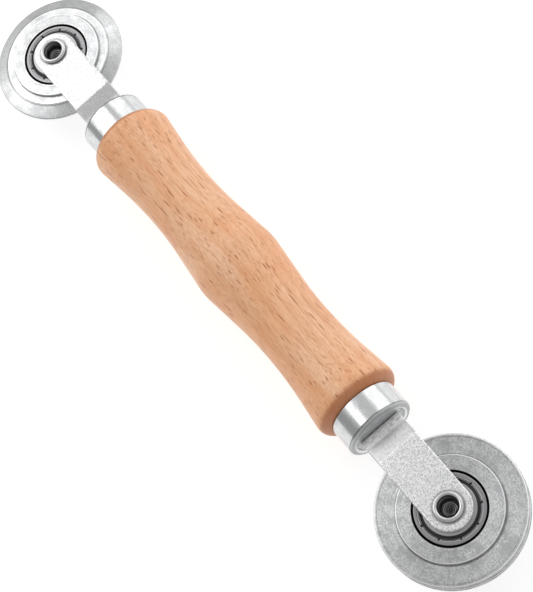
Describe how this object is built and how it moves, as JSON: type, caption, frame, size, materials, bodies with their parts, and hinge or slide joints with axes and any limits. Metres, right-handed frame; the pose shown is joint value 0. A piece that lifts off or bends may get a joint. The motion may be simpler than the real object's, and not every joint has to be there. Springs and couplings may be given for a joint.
{
  "type": "double-ended spline roller",
  "caption": "Turned wooden handle with a steel ferrule and fork at each end, each fork holding a thin wheel on a ball bearing, one with a grooved rim and one with a tapered rim.",
  "frame": {"origin": "centre of the handle, halfway between the two wheel axles", "axes": "+X along the handle towards the grooved (concave) wheel, +Z along the wheel axles"},
  "size_m": [0.2256, 0.04, 0.025],
  "materials": {
    "beech": "turned beech, sanded and lacquered satin",
    "zinc_plate": "drawn steel, bright zinc plate",
    "fork_steel": "sheet steel, dull zinc plate with a fine speckle",
    "screw_steel": "plain steel",
    "rivet_steel": "bright rolled steel",
    "spacer_steel": "bright stamped steel",
    "bearing_steel": "ground bearing steel",
    "cage_polymer": "dark moulded polyamide",
    "shield_steel": "pressed sheet, satin",
    "concave_wheel_steel": "turned steel, fine concentric tool marks",
    "convex_wheel_steel": "turned steel, fine concentric tool marks"
  },
  "bodies": {
    "tool": {"handle": "beech", "concave_ferrule": "zinc_plate", "concave_fork": "fork_steel", "concave_fork_screw": "screw_steel", "concave_axle": "rivet_steel", "concave_spacer_top": "spacer_steel", "concave_spacer_bottom": "spacer_steel", "concave_bearing_inner_ring": "bearing_steel", "convex_ferrule": "zinc_plate", "convex_fork": "fork_steel", "convex_fork_screw": "screw_steel", "convex_axle": "rivet_steel", "convex_spacer_top": "spacer_steel", "convex_spacer_bottom": "spacer_steel", "convex_bearing_inner_ring": "bearing_steel"},
    "concave_wheel_set": {"concave_wheel": "concave_wheel_steel", "concave_bearing_outer_ring": "bearing_steel", "concave_bearing_shield_top": "shield_steel", "concave_bearing_shield_bottom": "shield_steel"},
    "concave_ball_set": {"concave_bearing_balls": "bearing_steel", "concave_bearing_cage": "cage_polymer"},
    "convex_wheel_set": {"convex_wheel": "convex_wheel_steel", "convex_bearing_outer_ring": "bearing_steel", "convex_bearing_shield_top": "shield_steel", "convex_bearing_shield_bottom": "shield_steel"},
    "convex_ball_set": {"convex_bearing_balls": "bearing_steel", "convex_bearing_cage": "cage_polymer"}
  },
  "joints": [
    {"name": "concave_wheel_spin", "type": "hinge", "parent": "tool", "child": "concave_wheel_set", "pos_m": [0.0928, 0, 0], "axis": [0, 0, 1], "continuous": true},
    {"name": "concave_ball_set_spin", "type": "hinge", "parent": "tool", "child": "concave_ball_set", "pos_m": [0.0928, 0, 0], "axis": [0, 0, 1], "continuous": true},
    {"name": "convex_wheel_spin", "type": "hinge", "parent": "tool", "child": "convex_wheel_set", "pos_m": [-0.0928, 0, 0], "axis": [0, 0, 1], "continuous": true},
    {"name": "convex_ball_set_spin", "type": "hinge", "parent": "tool", "child": "convex_ball_set", "pos_m": [-0.0928, 0, 0], "axis": [0, 0, 1], "continuous": true}
  ],
  "couplings": [
    {"joint": "concave_ball_set_spin", "follows": "concave_wheel_spin", "ratio": 0.64},
    {"joint": "convex_ball_set_spin", "follows": "convex_wheel_spin", "ratio": 0.64}
  ]
}
